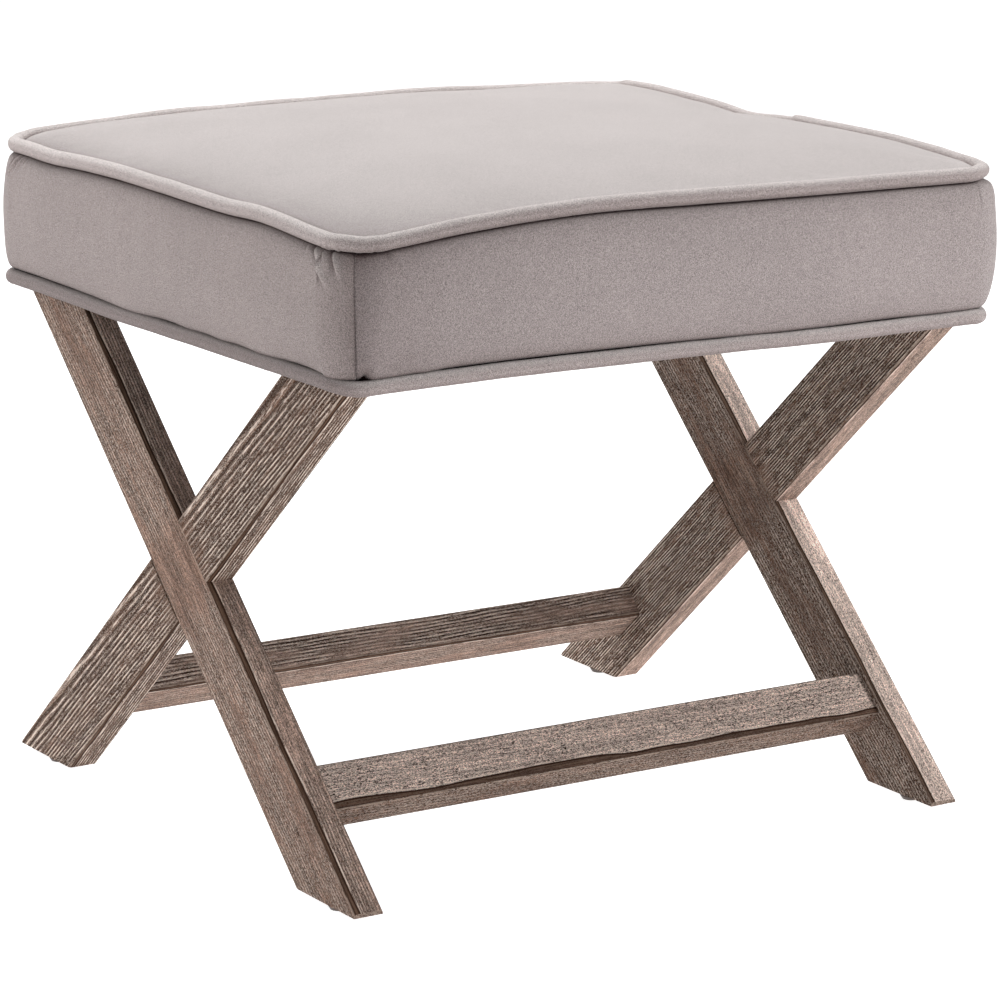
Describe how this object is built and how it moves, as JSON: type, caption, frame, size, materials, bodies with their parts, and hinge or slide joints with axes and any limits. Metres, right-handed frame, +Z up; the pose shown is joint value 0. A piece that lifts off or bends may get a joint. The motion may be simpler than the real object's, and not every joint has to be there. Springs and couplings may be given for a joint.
{
  "type": "upholstered stool",
  "caption": "Box-cushion stool with piped velvet cover on two crossed wooden leg frames tied by two low stretchers.",
  "frame": {"origin": "centre of the stool's box, on the floor under the glides", "axes": "+X along the stretchers from the left leg frame to the right one, front at -Y, +Z up"},
  "size_m": [0.5246, 0.4752, 0.4526],
  "materials": {
    "brushed_wood": "wire-brushed solid wood, grey-brown stain with white wash in the grain",
    "dowel_wood": "plain hardwood",
    "zinc_steel": "zinc plated",
    "plywood": "raw plywood",
    "foam": "polyurethane foam",
    "wadding": "polyester wadding",
    "velvet_top": "short-pile velvet, warm grey",
    "velvet": "short-pile velvet, warm grey",
    "dust_cloth": "black non-woven cloth",
    "glide_plastic": "moulded plastic"
  },
  "bodies": {
    "root": {"left_front_leg": "brushed_wood", "left_back_leg": "brushed_wood", "right_front_leg": "brushed_wood", "right_back_leg": "brushed_wood", "front_stretcher": "brushed_wood", "back_stretcher": "brushed_wood", "stretcher_dowels": "dowel_wood", "left_front_plate": "zinc_steel", "left_back_plate": "zinc_steel", "right_front_plate": "zinc_steel", "right_back_plate": "zinc_steel", "plate_screws": "zinc_steel", "seat_bolts": "zinc_steel", "bolt_washers": "zinc_steel", "t_nuts": "zinc_steel", "seat_deck": "plywood", "foam_pad": "foam", "wadding": "wadding", "top_panel": "velvet_top", "front_band": "velvet", "right_band": "velvet", "back_band": "velvet", "left_band": "velvet", "top_piping": "velvet", "bottom_piping": "velvet", "cover_hem": "velvet", "dust_cover": "dust_cloth", "staples": "zinc_steel", "left_front_glide": "glide_plastic", "left_back_glide": "glide_plastic", "right_front_glide": "glide_plastic", "right_back_glide": "glide_plastic", "glide_nails": "zinc_steel"}
  },
  "joints": []
}
